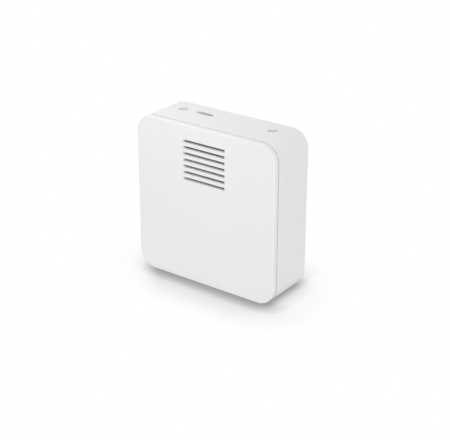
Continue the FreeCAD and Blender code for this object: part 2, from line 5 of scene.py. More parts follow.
import bmesh
import bpy
import numpy as np
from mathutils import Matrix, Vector


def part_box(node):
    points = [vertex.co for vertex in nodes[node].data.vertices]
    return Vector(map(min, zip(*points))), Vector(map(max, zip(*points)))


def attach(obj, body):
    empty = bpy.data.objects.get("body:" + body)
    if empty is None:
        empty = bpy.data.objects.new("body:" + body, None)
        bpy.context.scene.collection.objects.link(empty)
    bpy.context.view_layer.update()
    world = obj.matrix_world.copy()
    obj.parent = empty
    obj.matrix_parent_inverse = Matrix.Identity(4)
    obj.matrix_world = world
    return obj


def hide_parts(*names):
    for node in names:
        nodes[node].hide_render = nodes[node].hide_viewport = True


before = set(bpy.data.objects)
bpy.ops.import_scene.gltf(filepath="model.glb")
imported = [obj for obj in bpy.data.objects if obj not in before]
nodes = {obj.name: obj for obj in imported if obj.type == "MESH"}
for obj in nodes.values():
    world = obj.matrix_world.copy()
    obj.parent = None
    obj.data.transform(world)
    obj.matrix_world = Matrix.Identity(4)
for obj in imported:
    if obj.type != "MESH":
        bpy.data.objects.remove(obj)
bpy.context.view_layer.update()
mm = 0.001
fullTurn = 2 * math.pi
print(f"frame: {len(nodes)} nodes")


# Meshes from arrays

def turns(count):
    # angles that divide the full turn evenly
    return np.linspace(0, fullTurn, count, endpoint=False)


def gridFaces(rows, columns, closeRows=False, closeColumns=False):
    # four corners of every cell of a rows x columns grid of points
    r = np.arange(rows if closeRows else rows - 1)[:, None]
    c = np.arange(columns if closeColumns else columns - 1)[None, :]
    down, right = (r + 1) % rows, (c + 1) % columns
    corners = (r * columns + c, r * columns + right, down * columns + right,
               down * columns + c)
    return np.stack([np.broadcast_to(k, (r.size, c.size)) for k in corners], -1).reshape(-1, 4)


def joined(parts):
    # several (points, faces) pairs as one pair
    points = np.concatenate([p.reshape(-1, 3) for p, f in parts])
    starts = np.cumsum([0] + [p.reshape(-1, 3).shape[0] for p, f in parts[:-1]])
    return points, np.concatenate([f + s for (p, f), s in zip(parts, starts)])


def copiedFaces(faces, copies, pointsEach):
    # the faces of one shape, counted on through its copies
    steps = np.arange(copies)[:, None, None] * pointsEach
    return (faces[None] + steps).reshape(-1, faces.shape[1])


def repeated(points, faces, offsets):
    # the same shape at each offset
    many = points.reshape(1, -1, 3) + np.asarray(offsets, float).reshape(-1, 1, 3)
    return many.reshape(-1, 3), copiedFaces(faces, *many.shape[:2])


def lathe(profile, centre, axis, count):
    # a (along, radius) profile turned about a line through the centre, along x or y
    along, radius = np.asarray(profile, float).T[:, :, None]
    turn = turns(count)[None, :]
    one, two = radius * np.cos(turn), radius * np.sin(turn)
    flat = along + 0 * turn
    order = (flat, one, two) if axis == "x" else (one, flat, two)
    points = np.stack(order, -1) + np.asarray(centre, float)
    return points.reshape(-1, 3), gridFaces(len(profile), count, closeColumns=True)


def roundedLoop(halfX, halfZ, radius, steps):
    # a rectangle with quarter circles at its corners, and the outward direction at each point
    quarter = math.pi / 2
    turn = (np.arange(4)[:, None] * quarter + np.linspace(0, quarter, steps + 1)).ravel()
    signs = np.repeat([(1, 1), (-1, 1), (-1, -1), (1, -1)], steps + 1, axis=0)
    outward = np.stack((np.cos(turn), np.sin(turn)), -1)
    return signs * (halfX - radius, halfZ - radius) + radius * outward, outward


cleaning = {"mergeGap": 1e-6, "shortestEdge": 1e-7}


def addPiece(name, points, faces, materials, standsFor=(), indices=None):
    # a closed piece of quads, its double points merged and its faces turned outwards
    mesh = bpy.data.meshes.new(name)
    mesh.vertices.add(len(points))
    mesh.vertices.foreach_set("co", points.astype(np.float32).ravel())
    mesh.loops.add(faces.size)
    mesh.loops.foreach_set("vertex_index", faces.astype(np.int32).ravel())
    mesh.polygons.add(len(faces))
    mesh.polygons.foreach_set("loop_start", np.arange(0, faces.size, 4, dtype=np.int32))
    for material in materials:
        mesh.materials.append(material)
    if indices is not None:
        mesh.polygons.foreach_set("material_index", indices.astype(np.int32))
    mesh.update(calc_edges=True)
    shape = bmesh.new()
    shape.from_mesh(mesh)
    bmesh.ops.remove_doubles(shape, verts=shape.verts, dist=cleaning["mergeGap"])
    bmesh.ops.dissolve_degenerate(shape, edges=shape.edges, dist=cleaning["shortestEdge"])
    bmesh.ops.recalc_face_normals(shape, faces=shape.faces)
    shape.to_mesh(mesh)
    shape.free()
    mesh.shade_smooth()
    piece = bpy.data.objects.new(name, mesh)
    bpy.context.scene.collection.objects.link(piece)
    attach(piece, "root")
    if standsFor:
        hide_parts(*standsFor)
    print(f"{name}: {len(faces)} faces")
    return piece


# Materials; owner is a material or the world

def newMaterial(name, colour, roughness, metallic=0.0):
    material = bpy.data.materials.new(name)
    material.use_nodes = True
    shader = material.node_tree.nodes["Principled BSDF"]
    shader.inputs["Base Color"].default_value = (*colour, 1)
    shader.inputs["Roughness"].default_value = roughness
    shader.inputs["Metallic"].default_value = metallic
    material.diffuse_color = (*colour, 1)
    return material


def addNode(owner, kind, inputs=None, **settings):
    # a node with its settings, and its inputs set or linked
    tree = owner.node_tree
    node = tree.nodes.new(kind)
    for key, value in settings.items():
        setattr(node, key, value)
    for key, value in (inputs or {}).items():
        if isinstance(value, bpy.types.NodeSocket):
            tree.links.new(value, node.inputs[key])
        else:
            node.inputs[key].default_value = value
    return node


def objectPoint(owner):
    return addNode(owner, "ShaderNodeTexCoord").outputs["Object"]


def splitPoint(owner):
    return addNode(owner, "ShaderNodeSeparateXYZ", {"Vector": objectPoint(owner)}).outputs


def noise(owner, point, scale, detail=2.0, roughness=0.5):
    return addNode(owner, "ShaderNodeTexNoise",
                   {"Vector": point, "Scale": scale, "Detail": detail,
                    "Roughness": roughness}).outputs["Fac"]


def calc(owner, operation, *values):
    node = addNode(owner, "ShaderNodeMath", dict(enumerate(values)), operation=operation)
    return node.outputs["Value"]


def product(owner, first, second):
    return calc(owner, "MULTIPLY", first, second)


def distance(owner, value, centre):
    return calc(owner, "ABSOLUTE", calc(owner, "SUBTRACT", value, centre))


def insideCircle(owner, x, z, centreX, centreZ, radius):
    # 1 where the squared distances add up to less than the squared radius
    side = calc(owner, "SUBTRACT", x, centreX)
    rise = calc(owner, "SUBTRACT", z, centreZ)
    squares = calc(owner, "ADD", product(owner, side, side), product(owner, rise, rise))
    return calc(owner, "LESS_THAN", squares, radius ** 2)


def blendColours(owner, factor, first, second):
    ramp = addNode(owner, "ShaderNodeValToRGB", {"Fac": factor})
    ramp.color_ramp.elements[0].color = (*first, 1)
    ramp.color_ramp.elements[1].color = (*second, 1)
    return ramp.outputs["Color"]


def coverColour(owner, factor, under, over):
    # the colour under it shows where the factor is 0; the sockets of colours are 6, 7 and 2
    mix = addNode(owner, "ShaderNodeMix", {"Factor": factor, 6: under, 7: (*over, 1)},
                  data_type="RGBA")
    return mix.outputs[2]


def spread(owner, factor, low, high):
    return addNode(owner, "ShaderNodeMapRange",
                   {"Value": factor, "To Min": low, "To Max": high}).outputs["Result"]


def eased(owner, value, start, end, low=0.0, high=1.0):
    # from low to high as the value goes from start to end, with soft ends
    node = addNode(owner, "ShaderNodeMapRange",
                   {"Value": value, "From Min": start, "From Max": end, "To Min": low,
                    "To Max": high}, interpolation_type="SMOOTHSTEP")
    return node.outputs["Result"]


def seenRays(owner):
    # 1 for what the camera sees directly, mirrored or through something clear
    path = addNode(owner, "ShaderNodeLightPath").outputs
    seen = calc(owner, "MAXIMUM", path["Is Camera Ray"], path["Is Glossy Ray"])
    return calc(owner, "MAXIMUM", seen, path["Is Transmission Ray"])


def toShader(material, **links):
    shader = material.node_tree.nodes["Principled BSDF"]
    for key, value in links.items():
        material.node_tree.links.new(value, shader.inputs[key])


def grain(material, height, depth):
    # depth is the real height of the grain
    bump = addNode(material, "ShaderNodeBump", {"Height": height, "Distance": depth,
                                                "Strength": 1.0})
    toShader(material, Normal=bump.outputs["Normal"])


coverFinish = {
    "colour": (0.86, 0.86, 0.86), "shade": (0.845, 0.845, 0.845),
    "roughness": 0.45, "roughnessRange": (0.42, 0.5), "cloudScale": 45, "cloudDetail": 3,
    "grainScale": 3200, "grainDetail": 3, "grainRoughness": 0.6, "grainDepth": 0.000010,
    # painted shade greys the recesses over the studs and round the light guide
    "paintedShade": 0.55, "studPaintedShade": 0.38, "slotPaintedShade": 0.67, "paintedShadeDepth": 0.9 * mm,
    "studAt": (26 * mm, 4.55 * mm), "studReach": 2.7 * mm,
    "slotAt": (-13 * mm, 4.55 * mm), "slotReach": (5.2 * mm, 1.5 * mm), "middle": 40 * mm,
    # and painted shade lines the gap between the cover and the housing
    "seamPaintedShade": 0.33, "seamAt": -10.65 * mm, "seamReach": (0.24 * mm, 0.45 * mm),
}


def paintedRecessShade(material):
    # painted shade: it grows with the depth under the top and bottom faces, over the studs and
    # in the slot, and is full all along the gap
    f = coverFinish
    x, y, z = splitPoint(material)
    stud = insideCircle(material, calc(material, "ABSOLUTE", x), y, *f["studAt"],
                        f["studReach"])
    across, along = [calc(material, "LESS_THAN", distance(material, value, centre), reach)
                     for value, centre, reach in zip((x, y), f["slotAt"], f["slotReach"])]
    slot = product(material, across, along)
    depth = calc(material, "SUBTRACT", f["middle"], distance(material, z, f["middle"]))
    grown = addNode(material, "ShaderNodeMapRange",
                    {"Value": depth, "From Max": f["paintedShadeDepth"]}).outputs["Result"]
    recessPaintedShade = calc(material, "MAXIMUM", product(material, stud, f["studPaintedShade"]),
                 product(material, slot, f["slotPaintedShade"]))
    # painted shade along the gap between the cover and the housing
    seam = eased(material, distance(material, y, f["seamAt"]), *f["seamReach"],
                 f["seamPaintedShade"], 0.0)
    return calc(material, "MAXIMUM", product(material, recessPaintedShade, grown), seam)


def makeWhitePlastic():
    # a fine spark-eroded grain, with faint clouds in colour and gloss
    f = coverFinish
    material = newMaterial("whiteMouldedPlastic", f["colour"], f["roughness"])
    point = objectPoint(material)
    cloud = noise(material, point, f["cloudScale"], f["cloudDetail"])
    clean = blendColours(material, cloud, f["shade"], f["colour"])
    # the colour darkens to painted shade in the recesses and along the gap
    paintedShadeColour = [c * f["paintedShade"] for c in f["colour"]]
    toShader(material, **{"Base Color": coverColour(material, paintedRecessShade(material), clean,
                                                    paintedShadeColour),
                          "Roughness": spread(material, cloud, *f["roughnessRange"])})
    grain(material, noise(material, point, f["grainScale"], f["grainDetail"],
                          f["grainRoughness"]), f["grainDepth"])
    return material


mouldedFinish = {
    "cloudScale": 120, "brighter": 1.18, "lift": 0.004, "roughnessReach": 0.06,
    "pieces": {
        # colour, roughness, scale and depth of the grain
        "blackMouldedPlastic": ((0.022, 0.022, 0.023), 0.5, 2600, 0.000012),
        "chipResin": ((0.028, 0.028, 0.030), 0.62, 5200, 0.000008),
        "greyMouldedPlastic": ((0.23, 0.23, 0.235), 0.5, 2600, 0.000012),
        "gauzeThread": ((0.17, 0.17, 0.17), 0.6, 9000, 0.000004),
        "smokedGuide": ((0.15, 0.15, 0.15), 0.16, 400, 0.000001),
        "cellFilm": ((0.095, 0.105, 0.125), 0.3, 700, 0.000002),
        "lightResin": ((0.82, 0.78, 0.52), 0.2, 900, 0.000002),
    },
}


def makeMoulded(name):
    # faint clouds in colour and gloss, and a grain
    f = mouldedFinish
    colour, roughness, scale, depth = f["pieces"][name]
    material = newMaterial(name, colour, roughness)
    point = objectPoint(material)
    cloud = noise(material, point, f["cloudScale"])
    lighter = tuple(min(1, c * f["brighter"] + f["lift"]) for c in colour)
    reach = f["roughnessReach"]
    toShader(material, **{"Base Color": blendColours(material, cloud, colour, lighter),
                          "Roughness": spread(material, cloud, roughness - reach,
                                              roughness + reach)})
    grain(material, noise(material, point, scale), depth)
    return material


metalFinish = {
    "lineScale": 1400, "detail": 4, "lineRoughness": 0.6, "darker": 0.88,
    "smoother": 0.08, "rougher": 0.1,
    "pieces": {
        # colour, roughness, stretch and depth of the rolling lines
        "nickelPlate": ((0.66, 0.65, 0.63), 0.3, (1, 1, 0.1), 0.000003),
        "tinnedSheet": ((0.70, 0.70, 0.69), 0.34, (0.1, 1, 1), 0.000003),
        "goldPlatedPin": ((0.80, 0.58, 0.24), 0.24, (1, 0.1, 1), 0.000003),
        "solder": ((0.60, 0.60, 0.60), 0.22, (1, 1, 1), 0.000006),
    },
}


def makeMetal(name):
    # fine rolling lines, longer along the axis with the smallest stretch
    f = metalFinish
    colour, roughness, stretch, depth = f["pieces"][name]
    material = newMaterial(name, colour, roughness, 1.0)
    mapped = addNode(material, "ShaderNodeMapping", {"Vector": objectPoint(material),
                                                     "Scale": stretch})
    lines = noise(material, mapped.outputs["Vector"], f["lineScale"], f["detail"],
                  f["lineRoughness"])
    darker = tuple(c * f["darker"] for c in colour)
    toShader(material, **{"Base Color": blendColours(material, lines, darker, colour),
                          "Roughness": spread(material, lines, roughness - f["smoother"],
                                              roughness + f["rougher"])})
    grain(material, lines, depth)
    return material


boardFinish = {
    "mask": (0.014, 0.100, 0.042), "track": (0.034, 0.180, 0.078), "tin": (0.62, 0.61, 0.58),
    "roughness": 0.32,
    # of the zones, those under the lower share have no tracks, those over the upper share
    # have upright ones
    "zone": 8 * mm, "shares": (0.3, 0.66), "trackPitch": 0.75 * mm, "trackHalf": 0.17,
    "trackEnd": 0.09, "trackRise": 0.00003,
    "viaGap": 4.4 * mm, "viaRadius": 0.27 * mm, "ringWidth": 0.9 * mm,
    # x, z and radius of the fixing screws; middle, edge and pitch of the radio's pads
    "screws": ((31.5 * mm, 71.5 * mm, 1.1 * mm), (21.25 * mm, 39.5 * mm, 1.1 * mm)),
    "radioPads": (20 * mm, 7.75 * mm, 1.27 * mm), "padShare": 0.62,
}


def pitchShare(material, value, pitch):
    # from 0 to 1 over each pitch
    return calc(material, "FRACT", calc(material, "DIVIDE", value, pitch))


def stripes(material, value):
    # 1 on evenly spaced lines, where the distance to the middle of a step is small
    f = boardFinish
    away = distance(material, pitchShare(material, value, f["trackPitch"]), 0.5)
    return calc(material, "LESS_THAN", away, f["trackHalf"])


def makeBoard(name, rings=(), pads=None):
    # each zone of the board has tracks across, tracks upright or none; bare tin shows at the
    # small through holes, round the fixing screws and on the pads along two edges
    f = boardFinish
    material = newMaterial(name, f["mask"], f["roughness"])
    place = splitPoint(material)
    x, z = place["X"], place["Z"]
    flat = addNode(material, "ShaderNodeCombineXYZ", {"X": x, "Y": z}).outputs["Vector"]
    near, far = [addNode(material, "ShaderNodeTexVoronoi",
                         {"Vector": flat, "Scale": 1 / f["zone"]}, voronoi_dimensions="2D",
                         feature=kind, distance="CHEBYCHEV") for kind in ("F1", "F2")]
    zone = addNode(material, "ShaderNodeSeparateColor",
                   {"Color": near.outputs["Color"]}).outputs["Red"]
    bareShare, uprightShare = f["shares"]
    upright = calc(material, "GREATER_THAN", zone, uprightShare)
    across = calc(material, "SUBTRACT", 1.0, upright)
    lines = calc(material, "ADD", product(material, stripes(material, x), upright),
                 product(material, stripes(material, z), across))
    border = calc(material, "SUBTRACT", far.outputs["Distance"], near.outputs["Distance"])
    track = product(material, lines, calc(material, "GREATER_THAN", zone, bareShare))
    track = product(material, track, calc(material, "GREATER_THAN", border, f["trackEnd"]))
    hole = addNode(material, "ShaderNodeTexVoronoi",
                   {"Vector": flat, "Scale": 1 / f["viaGap"]},
                   voronoi_dimensions="2D").outputs["Distance"]
    bare = calc(material, "LESS_THAN", hole, f["viaRadius"] / f["viaGap"])
    mirrored = calc(material, "ABSOLUTE", x)
    for ringX, ringZ, radius in rings:
        ring = insideCircle(material, mirrored, z, ringX, ringZ, radius + f["ringWidth"])
        bare = calc(material, "MAXIMUM", bare, ring)
    if pads:
        centre, edge, pitch = pads
        outer = calc(material, "GREATER_THAN", distance(material, x, centre), edge)
        filled = calc(material, "LESS_THAN", pitchShare(material, z, pitch), f["padShare"])
        bare = calc(material, "MAXIMUM", bare, product(material, outer, filled))
    colour = blendColours(material, track, f["mask"], f["track"])
    toShader(material, **{"Base Color": coverColour(material, bare, colour, f["tin"]),
                          "Metallic": bare})
    grain(material, track, f["trackRise"])
    return material


chipFinish = {"body": (0.03, 0.03, 0.032), "tin": (0.66, 0.66, 0.65), "roughness": 0.5,
              "rowMiddle": 67.5 * mm, "rowReach": 1.25 * mm, "bodyReach": 0.48 * mm,
              "grainScale": 5200, "grainDepth": 0.000006}


def makeChipEnds():
    # black bodies with tinned ends, where the height in a row is far from the row's middle
    f = chipFinish
    material = newMaterial("chipWithTinnedEnds", f["body"], f["roughness"])
    row = calc(material, "WRAP", splitPoint(material)["Z"], f["rowMiddle"] + f["rowReach"],
               f["rowMiddle"] - f["rowReach"])
    end = calc(material, "GREATER_THAN", distance(material, row, f["rowMiddle"]),
               f["bodyReach"])
    toShader(material, **{"Base Color": blendColours(material, end, f["body"], f["tin"]),
                          "Metallic": end})
    grain(material, noise(material, objectPoint(material), f["grainScale"]),
          f["grainDepth"])
    return material


# the opening's near-black colour is painted shade of the hole
sensorFinish = {"resin": (0.045, 0.045, 0.048), "holeShade": (0.004, 0.004, 0.004),
                "roughness": (0.5, 0.95), "radius": 0.5 * mm, "depth": 0.00006}


def makeSensorFace():
    # dark resin with the round opening through which the air reaches the sensor; the
    # near-black in the opening is painted shade standing in for the depth of the hole
    f = sensorFinish
    low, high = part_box("temperature_sensor")
    material = newMaterial("sensorResin", f["resin"], f["roughness"][0])
    place = splitPoint(material)
    holeShade = insideCircle(material, place["X"], place["Z"], (low.x + high.x) / 2,
                           (low.z + high.z) / 2, f["radius"])
    toShader(material, **{"Base Color": blendColours(material, holeShade, f["resin"],
                                                     f["holeShade"]),
                          "Roughness": spread(material, holeShade, *f["roughness"])})
    grain(material, calc(material, "SUBTRACT", 1.0, holeShade), f["depth"])
    return material


finishes = {
    "white": makeWhitePlastic(),
    **{name: makeMoulded(name) for name in mouldedFinish["pieces"]},
    **{name: makeMetal(name) for name in metalFinish["pieces"]},
    "mainBoard": makeBoard("mainBoardMask", rings=boardFinish["screws"]),
    "smallBoard": makeBoard("smallBoardMask"),
    "radioBoard": makeBoard("radioBoardMask", pads=boardFinish["radioPads"]),
    "chipEnds": makeChipEnds(), "sensorFace": makeSensorFace(),
}
print(f"materials: {len(finishes)}")


# CAD pieces that keep their shape

softEdges = {
    "weldGap": 2e-6, "flatAngle": 1, "bevelAngle": 35, "segments": 2, "shadingWeight": 80,
    "nodes": {
        # finish, and width of the softened edges
        "front_cover": ("white", 0.12 * mm), "rear_housing": ("white", 0.12 * mm),
        "light_guide": ("smokedGuide", 0.08 * mm), "sensor_board": ("smallBoard", None),
        "temperature_sensor": ("sensorFace", 0.06 * mm),
        "sensor_stand": ("greyMouldedPlastic", 0.12 * mm),
        "pin_header": ("goldPlatedPin", 0.04 * mm), "main_board": ("mainBoard", None),
        "microcontroller": ("chipResin", 0.06 * mm), "crystal": ("nickelPlate", 0.35 * mm),
        "small_chips": ("chipEnds", 0.05 * mm), "radio_board": ("radioBoard", None),
        "radio_shield": ("tinnedSheet", 0.09 * mm), "antenna": ("tinnedSheet", 0.08 * mm),
        "status_led": ("lightResin", 0.1 * mm),
        "battery_holder": ("blackMouldedPlastic", 0.2 * mm),
        "positive_contact": ("nickelPlate", 0.06 * mm),
        "negative_contact": ("nickelPlate", 0.06 * mm),
        "link_contact": ("nickelPlate", 0.06 * mm),
    },
}


def dressNode(name, material, edge):
    # loose triangles are welded and flat faces joined before the edges are softened
    s = softEdges
    piece = nodes[name]
    piece.data.materials.clear()
    piece.data.materials.append(material)
    piece.data.shade_smooth()
    weld = piece.modifiers.new("weld", "WELD")
    weld.merge_threshold = s["weldGap"]
    flat = piece.modifiers.new("joinFlatFaces", "DECIMATE")
    flat.decimate_type = "DISSOLVE"
    flat.angle_limit = math.radians(s["flatAngle"])
    if edge:
        bevel = piece.modifiers.new("softEdges", "BEVEL")
        bevel.width = edge
        bevel.segments = s["segments"]
        bevel.limit_method = "ANGLE"
        bevel.angle_limit = math.radians(s["bevelAngle"])
        bevel.use_clamp_overlap = True
        bevel.harden_normals = True
    even = piece.modifiers.new("evenShading", "WEIGHTED_NORMAL")
    even.keep_sharp = True
    even.weight = s["shadingWeight"]


for name, (finish, edge) in softEdges["nodes"].items():
    dressNode(name, finishes[finish], edge)
print(f"CAD pieces dressed: {len(softEdges['nodes'])}")


# The gauze behind the vents

gauzeWeave = {"pitch": 0.6 * mm, "thread": 0.115 * mm, "perCrossing": 3, "sides": 6,
              "border": 0.9 * mm, "borderThickness": 0.5 * mm, "borderSides": 12,
              "borderCorner": 0.6 * mm, "cornerSteps": 4, "squareness": 0.4}


def oval(value):
    # a circle's coordinate pushed out towards a square's
    return np.sign(value) * np.abs(value) ** gauzeWeave["squareness"]


def makeGauze():
    # each thread waves over and under the others: y = s * a * cos(pi * t / pitch), and its
    # round section stands square to the wave; s changes sign from thread to thread
    g = gauzeWeave
    low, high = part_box("dust_screen")
    middle = (low.y + high.y) / 2
    counts = [int((high[k] - low[k] - g["border"]) / g["pitch"]) for k in (0, 2)]
    centres = [(low[k] + high[k]) / 2 for k in (0, 2)]
    turn = turns(g["sides"])
    parts = []
    for along, across, sign in ((1, 0, 1), (0, 1, -1)):
        last = counts[along] * g["perCrossing"]
        t = np.concatenate(([0], np.arange(last + 1), [last])) / g["perCrossing"]
        size = np.full(len(t), g["thread"])
        size[[0, -1]] = 0
        number = np.arange(counts[across] + 1)
        side = sign * (-1.0) ** number[:, None]
        wave = side * g["thread"] * np.cos(math.pi * t)
        slope = -side * g["thread"] * math.pi / g["pitch"] * np.sin(math.pi * t)
        tilt = 1 / np.sqrt(1 + slope ** 2)
        run = (t - counts[along] / 2) * g["pitch"]
        flat = size[None, :, None] * np.cos(turn)
        rise = size[None, :, None] * np.sin(turn) * tilt[..., None]
        lean = -rise * slope[..., None]
        step = (number[:, None, None] - counts[across] / 2) * g["pitch"]
        sideways = np.broadcast_to(step + flat, lean.shape) + centres[across]
        forwards = run[None, :, None] + lean + centres[along]
        height = wave[..., None] + rise + middle
        order = (sideways, height, forwards) if along == 1 else (forwards, height, sideways)
        faces = gridFaces(len(t), g["sides"], closeColumns=True)
        parts.append((np.stack(order, -1),
                      copiedFaces(faces, len(number), len(t) * g["sides"])))
    # the pressed border is a flat oval section carried round the edge
    half = [(high[k] - low[k]) / 2 - g["border"] / 2 for k in (0, 2)]
    outline, outward = roundedLoop(*half, g["borderCorner"], g["cornerSteps"])
    section = turns(g["borderSides"])
    out = oval(np.cos(section)) * g["border"] / 2
    thick = oval(np.sin(section)) * g["borderThickness"] / 2
    x, z = [outline[:, None, k] + outward[:, None, k] * out + centres[k] for k in (0, 1)]
    parts.append((np.stack((x, middle + thick + 0 * x, z), -1),
                  gridFaces(len(outline), g["borderSides"], True, True)))
    points, faces = joined(parts)
    addPiece("ventGauze", points, faces, [finishes["gauzeThread"]],
             ["dust_screen"])


# Screws, solder and chip leads; sizes in mm

screwShape = {
    "places": ((-31.5, 71.5), (31.5, 71.5), (-21.25, 39.5), (21.25, 39.5)), "sides": 48,
    # the face of the head is a dome with a cross, and its rim turns down
    "headRadius": 2.0, "headRise": 1.3, "faceRadius": 1.5, "faceRings": 17,
    "dome": 0.28, "domePower": 2.4, "rimRings": 6, "rimDrop": 0.62,
    "armWidth": 0.3, "armReach": 1.15, "recess": 0.75, "recessTaper": 0.45,
    "recessWall": 0.12,
    # past the neck the ridge of the thread rises from the minor to the major radius
    "major": 1.0, "minor": 0.72, "neckWidth": 0.1, "neckDrop": 0.08, "pitch": 0.8,
    "ringsPerPitch": 10, "threadStart": 0.1, "threadFade": 0.6, "ridgeHalf": 0.28,
    # (distance before the end, radius) of the point
    "tip": 0.7, "point": ((0.35, 0.504), (0.05, 0.25), (0.0, 0.0)),
}


def makeScrews():
    # rows run from the middle of the head over its rim and down the thread to the tip; the
    # recess is a cross cut by distance, the thread a ridge at (depth / pitch - turn) mod 1
    s = screwShape
    low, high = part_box("board_screws")
    top, end = low.y / mm, high.y / mm
    under = top + s["headRise"]
    turn = turns(s["sides"])[None, :]
    reach = np.linspace(0, s["faceRadius"], s["faceRings"])[:, None]
    u, v = np.abs(reach * np.cos(turn)), np.abs(reach * np.sin(turn))
    edge = np.minimum(np.maximum(u - s["armWidth"], v - s["armReach"]),
                      np.maximum(v - s["armWidth"], u - s["armReach"]))
    sunk = (s["recess"] * (1 - s["recessTaper"] * reach / s["armReach"])
            * np.clip(0.5 - edge / s["recessWall"], 0, 1))
    dome = s["dome"] * (reach / s["faceRadius"]) ** s["domePower"]
    bend = np.linspace(0, math.pi / 2, s["rimRings"])[1:, None]
    rimRadius = s["faceRadius"] + (s["headRadius"] - s["faceRadius"]) * np.sin(bend)
    rimDepth = s["dome"] + s["rimDrop"] * (1 - np.cos(bend))
    neck = np.array([[s["headRadius"], 0], [s["major"] + s["neckWidth"], 0],
                     [s["minor"], s["neckDrop"]]])
    step = s["pitch"] / s["ringsPerPitch"]
    depth = np.arange(under + s["threadStart"], end - s["tip"] + step / 8, step)[:, None]
    phase = (depth / s["pitch"] - turn / fullTurn) % 1
    ridge = np.clip(1 - np.abs(phase - 0.5) / s["ridgeHalf"], 0, 1)
    fade = np.clip((depth - under) / s["threadFade"], 0, 1)
    thread = s["minor"] + (s["major"] - s["minor"]) * ridge * fade
    point = np.array(s["point"])
    rows = ((reach, top + dome + sunk), (rimRadius, top + rimDepth),
            (neck[:, :1], under + neck[:, 1:]), (thread, depth),
            (point[:, 1:], end - point[:, :1]))
    radius = np.concatenate([r + 0 * turn for r, y in rows])
    level = np.concatenate([y + 0 * turn for r, y in rows])
    one = np.stack((radius * np.cos(turn), level, radius * np.sin(turn)), -1) * mm
    offsets = [(x * mm, 0, z * mm) for x, z in s["places"]]
    points, faces = repeated(one, gridFaces(len(radius), s["sides"], closeColumns=True),
                             offsets)
    addPiece("crossScrews", points, faces, [finishes["nickelPlate"]],
             ["board_screws"])


solderShape = {"radius": 0.85, "neck": 0.42, "rise": 0.62, "flare": 2.6, "rings": 7,
               "sides": 24, "pins": (-3.81, -1.27, 1.27, 3.81), "pinHeight": 59.11,
               "tails": ((27.25, 12.95), (27.25, 28.45)), "tailStretch": 1.75}


def makeSolder():
    # a hollow cone: radius = neck + (radius - neck) * (1 - h) ** flare over the height h
    s = solderShape
    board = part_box("main_board")[1].y
    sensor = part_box("sensor_board")[0].y
    h = np.linspace(0, 1, s["rings"])
    wall = s["neck"] + (s["radius"] - s["neck"]) * (1 - h) ** s["flare"]
    radius = np.concatenate(([0], wall, [0]))
    along = np.concatenate(([0], h * s["rise"], [s["rise"]]))
    mound, faces = lathe(np.stack((along, radius), -1) * mm, (0, 0, 0), "y", s["sides"])
    behind = [(x * mm, board, s["pinHeight"] * mm) for x in s["pins"]]
    ahead = [(x * mm, sensor, s["pinHeight"] * mm) for x in s["pins"]]
    tails = [(x * mm, board, z * mm) for x, z in s["tails"]]
    points, faces = joined([repeated(mound, faces, behind),
                            repeated(mound * (1, -1, 1), faces, ahead),
                            repeated(mound * (1, 1, s["tailStretch"]), faces, tails)])
    addPiece("solderJoints", points, faces, [finishes["solder"]])


leadShape = {"perSide": 9, "pitch": 0.8, "width": 0.34, "sheet": 0.14,
             # (distance from the chip's side, height over the board)
             "path": ((-0.2, 0.62), (0.25, 0.62), (0.36, 0.56), (0.44, 0.2), (0.54, 0.09),
                      (0.98, 0.07))}


def makeLeads():
    # a flat strip carried along a gull-wing path, set in a row and turned to four sides
    s = leadShape
    low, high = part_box("microcontroller")
    half = (high.x - low.x) / 2 / mm
    path = np.array(s["path"])
    ends = np.concatenate((path[:1], path, path[-1:]))
    direction = np.gradient(ends, axis=0)
    direction /= np.linalg.norm(direction, axis=1, keepdims=True) + 1e-9
    normal = np.stack((-direction[:, 1], direction[:, 0]), -1)
    scale = np.ones(len(ends))[:, None]
    scale[[0, -1]] = 0
    corner = np.array([(-1, -1), (1, -1), (1, 1), (-1, 1)]) / 2.0
    out, up = [ends[:, None, k] + normal[:, None, k] * corner[:, 1] * s["sheet"] * scale
               for k in (0, 1)]
    side = corner[None, :, 0] * s["width"] * scale
    one = np.stack((out + half, -up, side), -1)
    places = (np.arange(s["perSide"]) - (s["perSide"] - 1) / 2) * s["pitch"]
    row, faces = repeated(one, gridFaces(len(ends), 4, closeColumns=True),
                          [(0, 0, place) for place in places])
    centre = np.array(((low.x + high.x) / 2, high.y, (low.z + high.z) / 2))
    parts = []
    for c, d in ((1, 0), (0, 1), (-1, 0), (0, -1)):
        turned = np.stack((c * row[:, 0] - d * row[:, 2], row[:, 1],
                           d * row[:, 0] + c * row[:, 2]), -1)
        parts.append((turned * mm + centre, faces))
    points, faces = joined(parts)
    leads = addPiece("processorLeads", points, faces, [finishes["tinnedSheet"]])
    leads.data.shade_flat()


# Batteries and the round capacitor; sizes in mm

cellShape = {
    # (distance from the flat end, radius): bare metal at both ends, film between them
    "flatEnd": ((0, 0), (0, 4.5), (0.06, 4.75), (0.28, 4.9), (0.3, 5.3)),
    "film": ((0.3, 5.35), (0.12, 5.5), (0.05, 5.8), (0.06, 6.3), (0.16, 6.72), (0.36, 7.02),
             (0.62, 7.18), (0.95, 7.25), (1.6, 7.25), (8, 7.25), (30, 7.25), (47.9, 7.25),
             (48.5, 7.22), (48.9, 7.08), (49.2, 6.82), (49.38, 6.4), (49.42, 5.9),
             (49.36, 5.5), (49.22, 5.3)),
    "buttonEnd": ((49.2, 5.2), (49.2, 3.5), (49.24, 3.1), (49.4, 2.85), (49.62, 2.75),
                  (50.2, 2.75), (50.4, 2.68), (50.5, 2.45), (50.5, 0.9), (50.46, 0.7),
                  (50.46, 0)),
    "sides": 96,
}


